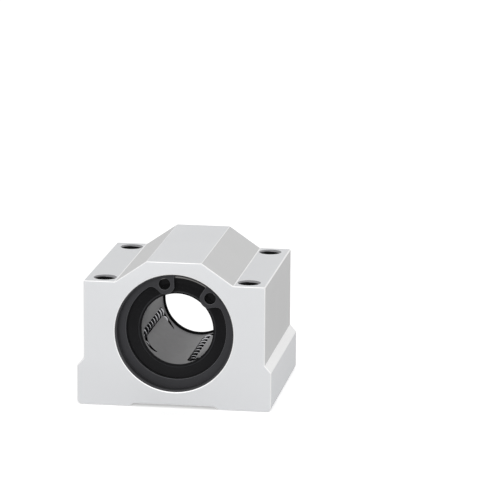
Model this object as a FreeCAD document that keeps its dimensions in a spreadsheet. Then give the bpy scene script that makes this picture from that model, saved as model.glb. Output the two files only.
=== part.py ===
import FreeCAD, Part
import math
import os
import Sketcher

# A pillow block for a 20 mm shaft: a sand-blasted aluminium block with a linear ball
# bearing held in its bore by two circlips. The bearing has a hardened steel sleeve, a
# cage with closed ball circuits, a snap ring at each end of the cage and two rubber seals.
# Origin: centre of the underside. X runs across the block, Y along the shaft, Z up.
# The front is the end at -Y.

doc = FreeCAD.newDocument("linear_bearing_block")

# Driving dimensions, in millimetres and degrees
DIMENSIONS = (
    # the block
    ("bore_height", 21),
    ("shoulder_height", 35),
    ("shoulder_width", 8.9),
    ("crown_wall", 3.13),
    ("crown_width", 15.2),
    ("flange_height", 11),
    ("flange_overhang", 1.8),
    ("flange_slope_rise", 2),
    ("relief_width", 24.8),
    ("relief_depth", 0.8),
    ("relief_end_run", 1.2),
    ("base_corner_radius", 1.2),
    ("valley_radius", 1),
    ("edge_break", 0.3),
    ("bore_clearance", 0.02),
    ("bore_mouth_chamfer", 0.5),
    ("bore_end_lip", 2.7),
    # the four mounting holes
    ("hole_diameter", 5.2),
    ("hole_mouth_chamfer", 0.6),
    ("hole_bore_wall", 0.53),
    ("hole_side_distance", 7),
    ("hole_end_distance", 5),
    # the circlips and their grooves
    ("circlip_thickness", 1.2),
    ("circlip_side_clearance", 0.05),
    ("circlip_groove_depth", 0.85),
    ("circlip_rim_clearance", 0.05),
    ("circlip_band", 3.4),
    ("circlip_band_taper", 1),
    ("circlip_lug_radius", 2.9),
    ("circlip_lug_rim", 0.37),
    ("circlip_lug_angle", 29),
    ("circlip_gap_angle", 17.5),
    ("circlip_hole_diameter", 3.2),
    ("front_circlip_angle", 74.2),
    ("rear_circlip_angle", 105.8),
    # the bearing
    ("shaft_diameter", 20),
    ("bearing_length", 42),
    ("sleeve_wall", 1.2325),
    ("sleeve_edge_chamfer", 0.4),
    ("outer_groove_inset", 5.75),
    ("outer_groove_width", 1.6),
    ("outer_groove_depth", 0.75),
    ("seal_recess", 0.4),
    ("seal_thickness", 1.7),
    ("seal_rim_width", 1.5),
    ("seal_lip_height", 0.6),
    ("seal_rim_clearance", 0.05),
    ("seal_lip_clearance", 0.04),
    ("side_ring_thickness", 0.9),
    ("side_ring_width", 4),
    ("side_ring_bite", 0.45),
    ("side_ring_gap", 3),
    ("end_play", 0.1),
    # the balls, their tracks and the cage
    ("ball_diameter", 3.175),
    ("ball_gap", 0.075),
    ("circuit_count", 4),
    ("balls_per_turn", 3),
    ("first_circuit_angle", 196),
    ("return_lift", 1.5125),
    ("race_clearance", 0.08),
    ("track_clearance", 0.1),
    ("cage_clearance", 0.1),
    ("cage_bore_clearance", 0.45),
    ("cage_end_wall", 0.5),
    ("race_land_angle", 5.5),
    ("pocket_side_angle", 8),
    ("rib_side_angle", 0.8),
    ("turn_slit_width", 0.45),
    ("turn_slit_depth", 3.8),
    ("turn_slit_angle", 150),
)

sizes = doc.addObject("Spreadsheet::Sheet", "sizes")
for line, (alias, number) in enumerate(DIMENSIONS, start=1):
    sizes.set(f"A{line}", alias)
    sizes.set(f"B{line}", str(number))
    sizes.setAlias(f"B{line}", alias)
doc.recompute()


def size(alias):
    """A driving dimension as a plain number."""
    return float(sizes.get(alias))


# Dimensions that follow from the driving ones, as formulas on the sheet, from the shaft
# outwards: the balls, the cage and sleeve round them, the bore, and the block round that
BALL_RADIUS = "(sizes.ball_diameter / 2)"
SHAFT_RADIUS = "(sizes.shaft_diameter / 2)"
CAGE_BORE_RADIUS = f"({SHAFT_RADIUS} + sizes.cage_bore_clearance)"
LIP_RADIUS = f"({SHAFT_RADIUS} + sizes.seal_lip_clearance)"
LOADED_RADIUS = f"({SHAFT_RADIUS} + {BALL_RADIUS})"
RETURN_RADIUS = f"({LOADED_RADIUS} + sizes.return_lift)"
RACE_RADIUS = f"({SHAFT_RADIUS} + sizes.ball_diameter + sizes.race_clearance)"
POCKET_RADIUS = f"({RETURN_RADIUS} + {BALL_RADIUS} + sizes.race_clearance)"
TRACK_RADIUS = f"({BALL_RADIUS} + sizes.track_clearance)"
BEARING_RADIUS = f"({POCKET_RADIUS} + sizes.sleeve_wall)"
SEAL_FACE = "(sizes.bearing_length / 2 - sizes.seal_recess)"
SEAL_BACK = f"({SEAL_FACE} - sizes.seal_thickness)"
RING_FACE = f"({SEAL_BACK} - sizes.end_play)"
RING_BACK = f"({RING_FACE} - sizes.side_ring_thickness)"
CAGE_HALF = f"({RING_BACK} - sizes.end_play)"
RING_GROOVE_RADIUS = f"({POCKET_RADIUS} + sizes.side_ring_bite + sizes.end_play / 2)"
BORE_RADIUS = f"({BEARING_RADIUS} + sizes.bore_clearance)"
CIRCLIP_GROOVE_RADIUS = f"({BORE_RADIUS} + sizes.circlip_groove_depth)"
CIRCLIP_RADIUS = f"({CIRCLIP_GROOVE_RADIUS} - sizes.circlip_rim_clearance)"
CIRCLIP_PLACE = (
    "(sizes.bearing_length / 2 + sizes.circlip_side_clearance + sizes.circlip_thickness / 2)"
)
GROOVE_END = f"({CIRCLIP_PLACE} + sizes.circlip_thickness / 2 + sizes.circlip_side_clearance)"
HOLE_RADIUS = "(sizes.hole_diameter / 2)"
HOLE_PLACE = f"({CIRCLIP_GROOVE_RADIUS} + sizes.hole_bore_wall + {HOLE_RADIUS})"
BLOCK_HALF = f"({HOLE_PLACE} + sizes.hole_side_distance)"
BLOCK_END = f"({GROOVE_END} + sizes.bore_end_lip)"
BLOCK_TOP = f"(sizes.bore_height + {CIRCLIP_GROOVE_RADIUS} + sizes.crown_wall)"
BODY_HALF = f"({BLOCK_HALF} - sizes.flange_overhang)"
SHOULDER_INNER = f"({BODY_HALF} - sizes.shoulder_width)"
# neighbouring balls in a turn stand one chord apart, so the turn's radius follows the ball
TURN_RADIUS = (
    "((sizes.ball_diameter + sizes.ball_gap) / (2 * sin(90deg / sizes.balls_per_turn)))"
)
PITCH = f"(pi * {TURN_RADIUS} / sizes.balls_per_turn)"
# angle about the shaft from a loaded row to its return row
SPREAD = (
    f"acos(({LOADED_RADIUS}^2 + {RETURN_RADIUS}^2 - 4 * {TURN_RADIUS}^2)"
    f" / (2 * {LOADED_RADIUS} * {RETURN_RADIUS}))"
)
LOADED_ANGLE = "(sizes.first_circuit_angle * 1deg)"


def value(formula):
    """What a formula on the sheet comes to."""
    found = sizes.evalExpression(formula)
    return float(getattr(found, "Value", found))


# as many balls as the straight part of the cage has room for
balls_per_row = math.floor(
    2
    * (value(CAGE_HALF) - size("cage_end_wall") - value(TURN_RADIUS) - value(TRACK_RADIUS))
    / value(PITCH)
)
circuit_count = int(size("circuit_count"))
balls_per_turn = int(size("balls_per_turn"))
HALF_RUN = f"({PITCH} * {balls_per_row} / 2)"


# Sketch and feature helpers


def new_body(name):
    body = doc.addObject("PartDesign::Body", name)
    body.Label = name
    return body


def origin_part(body, role):
    return next(part for part in body.Origin.OriginFeatures if part.Role == role)


def new_sketch(body, name, plane="XZ_Plane", right="0", up="0", out="0"):
    """A sketch on one of the body's own planes, moved along its own axes by three formulas."""
    sketch = body.newObject("Sketcher::SketchObject", name)
    sketch.AttachmentSupport = [(origin_part(body, plane), "")]
    sketch.MapMode = "FlatFace"
    for axis, formula in zip("xyz", (right, up, out)):
        if formula != "0":
            sketch.setExpression(f"AttachmentOffset.Base.{axis}", formula)
    return sketch


def pin_point(sketch, edge, end, across, up):
    """Dimension one point of the sketch from its origin, both ways, by formulas."""
    for kind, formula in (("DistanceX", across), ("DistanceY", up)):
        row = sketch.addConstraint(
            Sketcher.Constraint(kind, -1, 1, edge, end, value(formula))
        )
        name = f"{kind}_{row}"
        sketch.renameConstraint(row, name)
        sketch.setExpression(f"Constraints.{name}", formula)


def draw_outline(sketch, corners):
    """A closed outline of straight lines; each corner is a pair of formulas."""
    spots = [FreeCAD.Vector(value(across), value(up), 0) for across, up in corners]
    edges = [
        sketch.addGeometry(Part.LineSegment(spot, spots[(i + 1) % len(spots)]), False)
        for i, spot in enumerate(spots)
    ]
    for i, edge in enumerate(edges):
        sketch.addConstraint(
            Sketcher.Constraint("Coincident", edge, 2, edges[(i + 1) % len(edges)], 1)
        )
    for edge, (across, up) in zip(edges, corners):
        pin_point(sketch, edge, 1, across, up)


def draw_circle(sketch, across, up, radius):
    """A circle whose centre and radius are formulas."""
    centre = FreeCAD.Vector(value(across), value(up), 0)
    edge = sketch.addGeometry(
        Part.Circle(centre, FreeCAD.Vector(0, 0, 1), value(radius)), False
    )
    pin_point(sketch, edge, 3, across, up)
    row = sketch.addConstraint(Sketcher.Constraint("Radius", edge, value(radius)))
    sketch.renameConstraint(row, f"Radius_{row}")
    sketch.setExpression(f"Constraints.Radius_{row}", radius)


def draw_axis(sketch, start, end):
    """A construction line between two points given by formulas."""
    spots = [FreeCAD.Vector(value(across), value(up), 0) for across, up in (start, end)]
    edge = sketch.addGeometry(Part.LineSegment(*spots), True)
    pin_point(sketch, edge, 1, *start)
    pin_point(sketch, edge, 2, *end)


def extrude(body, kind, name, sketch, length=None):
    """A Pad or Pocket, even on both sides of its sketch; with no length it goes through."""
    feature = body.newObject(f"PartDesign::{kind}", name)
    feature.Profile = sketch
    feature.SideType = "Symmetric"
    if length is None:
        feature.Type = "ThroughAll"
    else:
        feature.setExpression("Length", length)
    return feature


def revolve(body, kind, name, sketch, axis, angle=360, reverse=False):
    """A Revolution or Groove of the sketch about one of its own axes."""
    feature = body.newObject(f"PartDesign::{kind}", name)
    feature.Profile = sketch
    feature.ReferenceAxis = (sketch, [axis])
    feature.Reversed = reverse
    if isinstance(angle, str):
        feature.setExpression("Angle", angle)
    else:
        feature.Angle = angle
    return feature


def repeat_around(body, name, features, count):
    """Copies of features, evenly spaced about the body's Y axis."""
    pattern = body.newObject("PartDesign::PolarPattern", name)
    pattern.Originals = features
    pattern.Axis = (origin_part(body, "Y_Axis"), [""])
    pattern.Angle = 360
    pattern.setExpression("Occurrences", count)
    body.Tip = pattern
    return pattern


def dress(body, kind, name, base, places, amount):
    """A Fillet or Chamfer on named edges or faces of the last feature."""
    feature = body.newObject(f"PartDesign::{kind}", name)
    feature.Base = (base, places)
    feature.setExpression("Radius" if kind == "Fillet" else "Size", amount)
    return feature


def long_edges_at(feature, spots):
    """Names of the edges along Y that pass through the given (x, z) formulas."""
    wanted = [(value(x), value(z)) for x, z in spots]
    names = []
    for number, edge in enumerate(feature.Shape.Edges, start=1):
        first, last = edge.Vertexes[0].Point, edge.Vertexes[-1].Point
        along_y = abs(first.x - last.x) < 1e-6 and abs(first.z - last.z) < 1e-6
        if along_y and any(
            abs(first.x - x) < 1e-6 and abs(first.z - z) < 1e-6 for x, z in wanted
        ):
            names.append(f"Edge{number}")
    return names


def on_circle(radius, angle):
    """The (x, z) formulas of a point at a radius and angle about the bore's axis."""
    return f"{radius} * cos({angle})", f"{radius} * sin({angle})"


def both_sides(spots):
    """Points on the right half and the same points mirrored to the left."""
    return list(spots) + [(f"-{x}", z) for x, z in spots]


# Block: an extruded aluminium profile, bored for the bearing and drilled from the top


def make_housing():
    body = new_body("housing")
    right_side = (
        ("sizes.relief_width / 2", "0"),
        (BLOCK_HALF, "0"),
        (BLOCK_HALF, "sizes.flange_height"),
        (BODY_HALF, "sizes.flange_height + sizes.flange_slope_rise"),
        (BODY_HALF, "sizes.shoulder_height"),
        (SHOULDER_INNER, "sizes.shoulder_height"),
        ("sizes.crown_width / 2", BLOCK_TOP),
    )
    relief_top = ("(sizes.relief_width / 2 - sizes.relief_end_run)", "sizes.relief_depth")
    left_side = tuple((f"-({x})", z) for x, z in reversed(right_side))
    profile = new_sketch(body, "block_profile")
    draw_outline(
        profile,
        (relief_top, *right_side, *left_side, (f"-{relief_top[0]}", relief_top[1])),
    )
    block = extrude(body, "Pad", "block", profile, f"(2 * {BLOCK_END})")
    doc.recompute()

    corners = both_sides([(BLOCK_HALF, "0")])
    rounded = dress(
        body,
        "Fillet",
        "base_corners",
        block,
        long_edges_at(block, corners),
        "sizes.base_corner_radius",
    )
    doc.recompute()
    valleys = both_sides([(SHOULDER_INNER, "sizes.shoulder_height")])
    hollowed = dress(
        body,
        "Fillet",
        "valleys",
        rounded,
        long_edges_at(rounded, valleys),
        "sizes.valley_radius",
    )
    doc.recompute()
    ridges = both_sides(
        [
            ("sizes.crown_width / 2", BLOCK_TOP),
            (BODY_HALF, "sizes.shoulder_height"),
            (BLOCK_HALF, "sizes.flange_height"),
        ]
    )
    softened = dress(
        body,
        "Fillet",
        "long_edges",
        hollowed,
        long_edges_at(hollowed, ridges),
        "sizes.edge_break",
    )
    doc.recompute()
    end_faces = [
        f"Face{number}"
        for number, face in enumerate(softened.Shape.Faces, start=1)
        if abs(abs(face.CenterOfMass.y) - value(BLOCK_END)) < 1e-6
    ]
    dress(body, "Chamfer", "end_edges", softened, end_faces, "sizes.edge_break")
    doc.recompute()

    bore = new_sketch(body, "bore_profile", "YZ_Plane", up="sizes.bore_height")
    reach = f"({BLOCK_END} + sizes.bore_mouth_chamfer)"
    mouth = f"({BLOCK_END} - sizes.bore_mouth_chamfer)"
    flare = f"({BORE_RADIUS} + 2 * sizes.bore_mouth_chamfer)"
    groove_start = "(sizes.bearing_length / 2)"
    rear_half = (
        (groove_start, BORE_RADIUS),
        (groove_start, CIRCLIP_GROOVE_RADIUS),
        (GROOVE_END, CIRCLIP_GROOVE_RADIUS),
        (GROOVE_END, BORE_RADIUS),
        (mouth, BORE_RADIUS),
        (reach, flare),
        (reach, "0"),
    )
    front_half = tuple((f"-{y}", r) for y, r in reversed(rear_half))
    draw_outline(bore, rear_half + front_half)
    revolve(body, "Groove", "bearing_bore", bore, "H_Axis")
    doc.recompute()

    spots = new_sketch(body, "hole_centres", "XY_Plane", out="sizes.shoulder_height")
    hole_y = f"({BLOCK_END} - sizes.hole_end_distance)"
    for side in ("", "-"):
        for end in ("", "-"):
            draw_circle(spots, side + HOLE_PLACE, end + hole_y, HOLE_RADIUS)
    doc.recompute()
    holes = body.newObject("PartDesign::Hole", "mounting_holes")
    holes.Profile = spots
    holes.DepthType = "ThroughAll"
    holes.setExpression("Diameter", "sizes.hole_diameter")
    holes.HoleCutType = "Countersink"
    holes.HoleCutCustomValues = True
    holes.setExpression(
        "HoleCutDiameter", "sizes.hole_diameter + 2 * sizes.hole_mouth_chamfer"
    )
    holes.HoleCutCountersinkAngle = 90
    return body


# Circlips: stamped spring steel, widest opposite the gap, with a plier hole in each lug


def make_circlip(name, side):
    body = new_body(name)
    gap = f"(sizes.{name}_angle * 1deg)"
    off_centre = "(sizes.circlip_band_taper / 2)"
    inner_radius = f"({CIRCLIP_RADIUS} - sizes.circlip_band + {off_centre})"
    lug_circle = f"({CIRCLIP_RADIUS} - sizes.circlip_lug_radius - sizes.circlip_lug_rim)"
    lugs = [
        on_circle(lug_circle, f"({gap} {sign} sizes.circlip_lug_angle * 1deg)")
        for sign in "+-"
    ]
    band = new_sketch(body, "band_outline")
    draw_circle(band, "0", "0", CIRCLIP_RADIUS)
    draw_circle(band, *on_circle(off_centre, gap), inner_radius)
    extrude(body, "Pad", "band", band, "sizes.circlip_thickness")
    pads = new_sketch(body, "lug_outlines")
    for lug in lugs:
        draw_circle(pads, *lug, "sizes.circlip_lug_radius")
    extrude(body, "Pad", "lugs", pads, "sizes.circlip_thickness")
    holes = new_sketch(body, "plier_hole_outlines")
    for lug in lugs:
        draw_circle(holes, *lug, "(sizes.circlip_hole_diameter / 2)")
    extrude(body, "Pocket", "plier_holes", holes)
    opening = new_sketch(body, "gap_outline")
    reach = f"(1.5 * {CIRCLIP_RADIUS})"
    ends = [
        on_circle(reach, f"({gap} {sign} sizes.circlip_gap_angle * 1deg)") for sign in "+-"
    ]
    draw_outline(opening, (("0", "0"), *ends))
    extrude(body, "Pocket", "gap", opening)
    body.setExpression("Placement.Base.y", f"{side}{CIRCLIP_PLACE}")
    body.setExpression("Placement.Base.z", "sizes.bore_height")
    return body


# Sleeve: ground steel tube; its bore has four narrow raceway lands, and wide pockets
# between them give the returning balls room


def make_sleeve():
    body = new_body("bearing_sleeve")
    outer = BEARING_RADIUS
    end = "(sizes.bearing_length / 2)"
    edge = "sizes.sleeve_edge_chamfer"
    groove_radius = f"({outer} - sizes.outer_groove_depth)"
    groove_far = f"({end} - sizes.outer_groove_inset)"
    groove_near = f"({groove_far} - sizes.outer_groove_width)"
    counterbore = f"({CAGE_HALF} + sizes.end_play / 2)"
    ring_near = f"({RING_BACK} - sizes.end_play / 3)"
    ring_far = f"({RING_FACE} + sizes.end_play / 3)"
    rear_half = (
        (groove_near, outer),
        (groove_near, groove_radius),
        (groove_far, groove_radius),
        (groove_far, outer),
        (f"({end} - {edge})", outer),
        (end, f"({outer} - {edge})"),
        (end, POCKET_RADIUS),
        (ring_far, POCKET_RADIUS),
        (ring_far, RING_GROOVE_RADIUS),
        (ring_near, RING_GROOVE_RADIUS),
        (ring_near, POCKET_RADIUS),
        (counterbore, POCKET_RADIUS),
        (counterbore, RACE_RADIUS),
    )
    front_half = tuple((f"-{y}", r) for y, r in reversed(rear_half))
    profile = new_sketch(body, "sleeve_profile", "YZ_Plane")
    draw_outline(profile, rear_half + front_half)
    revolve(body, "Revolution", "turned_sleeve", profile, "H_Axis")
    doc.recompute()
    pocket = make_sector(
        body,
        "return_pocket",
        "Pocket",
        POCKET_RADIUS,
        f"({LOADED_ANGLE} + sizes.race_land_angle * 1deg)",
        f"({LOADED_ANGLE} + {SPREAD} + sizes.pocket_side_angle * 1deg)",
        f"(2 * {counterbore} + sizes.end_play)",
        "0",
    )
    repeat_around(body, "return_pockets", [pocket], "sizes.circuit_count")
    body.setExpression("Placement.Base.z", "sizes.bore_height")
    return body


def make_sector(body, name, kind, radius, start, end, length, core):
    """Pad or Pocket of the ring segment between two angles, from a core radius outwards."""
    sketch = new_sketch(body, f"{name}_outline")
    first, last = value(start), value(end)
    middle = f"(({start} + {end}) / 2)"
    corners = [
        on_circle(radius, start),
        on_circle(radius, end),
        on_circle(core, end),
        on_circle(core, start),
    ]
    spots = [FreeCAD.Vector(value(x), value(z), 0) for x, z in corners]
    centre = FreeCAD.Vector(0, 0, 0)
    up = FreeCAD.Vector(0, 0, 1)
    arc = sketch.addGeometry(
        Part.ArcOfCircle(
            Part.Circle(centre, up, value(radius)), math.radians(first), math.radians(last)
        ),
        False,
    )
    sketch.addConstraint(Sketcher.Constraint("Coincident", arc, 3, -1, 1))
    pin_point(sketch, arc, 1, *corners[0])
    if value(core) == 0:
        chain = [spots[1], centre, spots[0]]
    else:
        hub = FreeCAD.Vector(*[value(f) for f in on_circle(core, middle)], 0)
        chain = [spots[1], spots[2], hub, spots[3], spots[0]]
    lines = [
        sketch.addGeometry(Part.LineSegment(a, b), False) for a, b in zip(chain, chain[1:])
    ]
    for before, after in zip(lines, lines[1:]):
        sketch.addConstraint(Sketcher.Constraint("Coincident", before, 2, after, 1))
    sketch.addConstraint(Sketcher.Constraint("Coincident", arc, 2, lines[0], 1))
    sketch.addConstraint(Sketcher.Constraint("Coincident", lines[-1], 2, arc, 1))
    across = on_circle(radius, end)[0]
    row = sketch.addConstraint(
        Sketcher.Constraint("DistanceX", -1, 1, arc, 2, value(across))
    )
    sketch.renameConstraint(row, "arc_end")
    sketch.setExpression("Constraints.arc_end", across)
    if value(core) == 0:
        sketch.addConstraint(Sketcher.Constraint("Coincident", lines[0], 2, -1, 1))
    else:
        pin_point(sketch, lines[0], 2, *corners[2])
        pin_point(sketch, lines[1], 2, *on_circle(core, middle))
        pin_point(sketch, lines[2], 2, *corners[3])
    return extrude(body, kind, name, sketch, length)


# Cage: a moulded tube with a raised rib over each return row; every circuit is a closed
# track for the balls that breaks through to the shaft along its loaded side and a little
# way round each turn


def make_cage():
    body = new_body("ball_cage")
    outer = f"({RACE_RADIUS} - sizes.cage_clearance)"
    profile = new_sketch(body, "tube_profile", "YZ_Plane")
    draw_outline(
        profile,
        (
            (CAGE_HALF, CAGE_BORE_RADIUS),
            (CAGE_HALF, outer),
            (f"-{CAGE_HALF}", outer),
            (f"-{CAGE_HALF}", CAGE_BORE_RADIUS),
        ),
    )
    revolve(body, "Revolution", "tube", profile, "H_Axis")
    doc.recompute()
    rib = make_sector(
        body,
        "return_rib",
        "Pad",
        f"({POCKET_RADIUS} - sizes.cage_clearance)",
        f"({LOADED_ANGLE} + (sizes.race_land_angle + sizes.rib_side_angle) * 1deg)",
        f"({LOADED_ANGLE} + {SPREAD}"
        " + (sizes.pocket_side_angle - sizes.rib_side_angle) * 1deg)",
        f"(2 * {CAGE_HALF})",
        f"(({CAGE_BORE_RADIUS} + {outer}) / 2)",
    )
    repeat_around(body, "return_ribs", [rib], "sizes.circuit_count")
    doc.recompute()

    loaded = on_circle(LOADED_RADIUS, LOADED_ANGLE)
    unloaded = on_circle(RETURN_RADIUS, f"({LOADED_ANGLE} + {SPREAD})")
    middle = tuple(f"(({a} + {b}) / 2)" for a, b in zip(loaded, unloaded))
    # a line square to the chord between the rows, through its middle
    far = (
        f"({middle[0]} + ({unloaded[1]} - {loaded[1]}))",
        f"({middle[1]} - ({unloaded[0]} - {loaded[0]}))",
    )
    straights = new_sketch(body, "straight_tracks_outline")
    draw_circle(straights, *loaded, TRACK_RADIUS)
    draw_circle(straights, *unloaded, TRACK_RADIUS)
    cuts = [extrude(body, "Pocket", "straight_tracks", straights, f"(2 * {HALF_RUN})")]
    doc.recompute()
    for end, sign in (("front", ""), ("rear", "-")):
        turn = new_sketch(body, f"{end}_turn_outline", out=f"{sign}{HALF_RUN}")
        draw_circle(turn, *loaded, TRACK_RADIUS)
        draw_axis(turn, middle, far)
        cuts.append(
            revolve(
                body, "Groove", f"{end}_turn", turn, "Axis0", 180, reverse=end == "front"
            )
        )
        doc.recompute()
    for end, sign in (("front", ""), ("rear", "-")):
        slit = new_sketch(body, f"{end}_slit_outline", out=f"{sign}{HALF_RUN}")
        draw_slit(slit, loaded, unloaded)
        draw_axis(slit, middle, far)
        cuts.append(
            revolve(
                body,
                "Groove",
                f"{end}_slit",
                slit,
                "Axis0",
                "sizes.turn_slit_angle",
                reverse=end == "front",
            )
        )
        doc.recompute()
    repeat_around(body, "circuits", cuts, "sizes.circuit_count")
    body.setExpression("Placement.Base.z", "sizes.bore_height")
    return body


def draw_slit(sketch, loaded, unloaded):
    """A narrow bar from the loaded row's centre inwards, square to the chord of the turn."""
    chord = f"(2 * {TURN_RADIUS})"
    along = tuple(f"(({b} - {a}) / {chord})" for a, b in zip(loaded, unloaded))
    inward = (f"(-{along[1]})", along[0])
    half = "(sizes.turn_slit_width / 2)"
    depth = "sizes.turn_slit_depth"
    corners = []
    for sideways, deep in ((f"-{half}", "0"), (half, "0"), (half, depth), (f"-{half}", depth)):
        corners.append(
            tuple(
                f"({loaded[i]} + ({sideways}) * {along[i]} + {deep} * {inward[i]})"
                for i in (0, 1)
            )
        )
    draw_outline(sketch, corners)


# Side rings: flat spring-steel snap rings that sit in grooves inside the sleeve


def make_side_ring(name, side):
    body = new_body(name)
    outer = f"({POCKET_RADIUS} + sizes.side_ring_bite)"
    ring = new_sketch(body, "ring_outline")
    draw_circle(ring, "0", "0", outer)
    draw_circle(ring, "0", "0", f"({outer} - sizes.side_ring_width)")
    extrude(body, "Pad", "ring", ring, "sizes.side_ring_thickness")
    split = new_sketch(body, "split_outline")
    half = "(sizes.side_ring_gap / 2)"
    beyond = f"(2 * {outer})"
    draw_outline(
        split, ((f"-{half}", "0"), (half, "0"), (half, beyond), (f"-{half}", beyond))
    )
    extrude(body, "Pocket", "split", split)
    body.setExpression("Placement.Base.y", f"{side}(({RING_FACE} + {RING_BACK}) / 2)")
    body.setExpression("Placement.Base.z", "sizes.bore_height")
    return body


# Seals: moulded rubber, dished from a flat rim down to a thin lip beside the shaft


def make_seal(name, side):
    body = new_body(name)
    rim = f"({POCKET_RADIUS} - sizes.seal_rim_clearance)"
    face = "sizes.seal_thickness"
    profile = new_sketch(body, "seal_profile", "YZ_Plane")
    along = "-" if side == "-" else ""
    corners = (
        ("0", LIP_RADIUS),
        ("0", rim),
        (face, rim),
        (face, f"({rim} - sizes.seal_rim_width)"),
        ("sizes.seal_lip_height", LIP_RADIUS),
    )
    draw_outline(profile, [(f"{along}{y}", r) for y, r in corners])
    revolve(body, "Revolution", "moulding", profile, "H_Axis")
    body.setExpression("Placement.Base.y", f"{side}{SEAL_BACK}")
    body.setExpression("Placement.Base.z", "sizes.bore_height")
    return body


# Balls: hardened steel, one group for each straight row and each turn of a circuit


def make_ball_group(name, places):
    """Separate balls at the given (x, y, z) formulas, as one named group."""
    balls = []
    for number, place in enumerate(places, start=1):
        ball = doc.addObject("Part::Sphere", f"{name}_ball_{number}")
        ball.setExpression("Radius", BALL_RADIUS)
        for axis, formula in zip("xyz", place):
            ball.setExpression(f"Placement.Base.{axis}", formula)
        balls.append(ball)
    group = doc.addObject("Part::Compound", name)
    group.Label = name
    group.Links = balls
    return group


def make_circuit(number):
    angle = f"({LOADED_ANGLE} + {number - 1} * 360deg / sizes.circuit_count)"
    loaded = on_circle(LOADED_RADIUS, angle)
    unloaded = on_circle(RETURN_RADIUS, f"({angle} + {SPREAD})")
    groups = []
    for kind, row in (("loaded", loaded), ("return", unloaded)):
        places = [
            (
                row[0],
                f"{PITCH} * {ball - (balls_per_row - 1) / 2}",
                f"sizes.bore_height + {row[1]}",
            )
            for ball in range(balls_per_row)
        ]
        groups.append(make_ball_group(f"{kind}_row_{number}", places))
    for end, sign in (("front", "-"), ("rear", "")):
        places = []
        for ball in range(balls_per_turn):
            turned = f"({ball + 0.5} * 180deg / sizes.balls_per_turn)"
            near, away = f"((1 + cos({turned})) / 2)", f"((1 - cos({turned})) / 2)"
            places.append(
                (
                    f"{near} * {loaded[0]} + {away} * {unloaded[0]}",
                    f"{sign}({HALF_RUN} + {TURN_RADIUS} * sin({turned}))",
                    f"sizes.bore_height + {near} * {loaded[1]} + {away} * {unloaded[1]}",
                )
            )
        groups.append(make_ball_group(f"{end}_turn_{number}", places))
    return groups


pieces = [
    make_housing(),
    make_circlip("front_circlip", "-"),
    make_circlip("rear_circlip", ""),
    make_sleeve(),
    make_cage(),
    make_side_ring("front_side_ring", "-"),
    make_side_ring("rear_side_ring", ""),
    make_seal("front_seal", "-"),
    make_seal("rear_seal", ""),
]
for circuit in range(1, circuit_count + 1):
    pieces += make_circuit(circuit)
doc.recompute()

# Nothing is written unless every object was made and every piece is a sound solid
for thing in doc.Objects:
    if "Invalid" in thing.State or "Error" in thing.State:
        raise RuntimeError(f"{thing.Label} could not be made: {thing.State}")
for piece in pieces:
    if piece.Shape.isNull() or not piece.Shape.isValid() or not piece.Shape.Solids:
        raise RuntimeError(f"{piece.Label} is not a sound solid")

os.makedirs("parts", exist_ok=True)
for piece in pieces:
    piece.Shape.exportStep(f"parts/{piece.Label}.step")
    box = piece.Shape.BoundBox
    print(
        f"{piece.Label}: {len(piece.Shape.Solids)} solids, {piece.Shape.Volume:.2f} mm3,"
        f" x {box.XMin:.3f}..{box.XMax:.3f}, y {box.YMin:.3f}..{box.YMax:.3f},"
        f" z {box.ZMin:.3f}..{box.ZMax:.3f}"
    )
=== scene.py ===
import math

import bmesh
import bpy
from mathutils import Matrix, Vector


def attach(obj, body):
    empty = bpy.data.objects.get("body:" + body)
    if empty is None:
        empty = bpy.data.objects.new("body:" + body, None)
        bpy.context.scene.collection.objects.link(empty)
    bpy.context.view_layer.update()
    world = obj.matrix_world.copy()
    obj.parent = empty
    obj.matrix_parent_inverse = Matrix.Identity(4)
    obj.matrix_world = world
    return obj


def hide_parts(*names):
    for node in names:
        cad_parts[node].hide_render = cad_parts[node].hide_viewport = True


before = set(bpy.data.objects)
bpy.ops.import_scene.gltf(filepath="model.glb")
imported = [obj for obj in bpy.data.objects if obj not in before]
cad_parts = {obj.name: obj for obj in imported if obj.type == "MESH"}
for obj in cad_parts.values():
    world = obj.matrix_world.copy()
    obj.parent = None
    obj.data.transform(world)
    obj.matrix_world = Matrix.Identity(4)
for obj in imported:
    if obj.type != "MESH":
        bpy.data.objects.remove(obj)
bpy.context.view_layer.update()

scene = bpy.context.scene


# Camera: a long lens a little above the block and a little to its right, so the front
# face is nearly square to the view and the top and the right side just show.
azimuth, elevation, roll = (math.radians(a) for a in (8.68, 12.15, 0.34))
back = Vector((
    math.sin(azimuth) * math.cos(elevation),
    -math.cos(azimuth) * math.cos(elevation),
    math.sin(elevation),
))
level_right = Vector((math.cos(azimuth), math.sin(azimuth), 0))
level_up = back.cross(level_right)
camera_right = math.cos(roll) * level_right + math.sin(roll) * level_up
camera_up = math.cos(roll) * level_up - math.sin(roll) * level_right
camera_data = bpy.data.cameras.new("camera")
camera_data.sensor_width = 36
camera_data.lens = 267.24
camera_data.clip_start = 0.01
camera_data.clip_end = 50
camera = bpy.data.objects.new("camera", camera_data)
camera.rotation_mode = "QUATERNION"
camera.location = (0.16076, -0.95904, 0.25137)
camera.rotation_quaternion = Matrix((camera_right, camera_up, back)).transposed().to_quaternion()
scene.collection.objects.link(camera)
scene.camera = camera


# Block: one length of extruded aluminium, bored through for the bearing, its four holes
# drilled, tapped and countersunk from the top. Its ends and lands are milled, its edges
# broken, and the whole is sand-blasted and clear anodised. Light and shade are painted into
# its colour: painted shade on its flanks, the bore's wall and the holes, and painted
# highlights on its slopes and broken edges.
BORE_HEIGHT = 0.021
BLOCK_END = 0.025
END_EDGE = 0.00022
EDGE_STEPS = 4
CORNER_STEPS = 6
RING_SEGMENTS = 160
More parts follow.
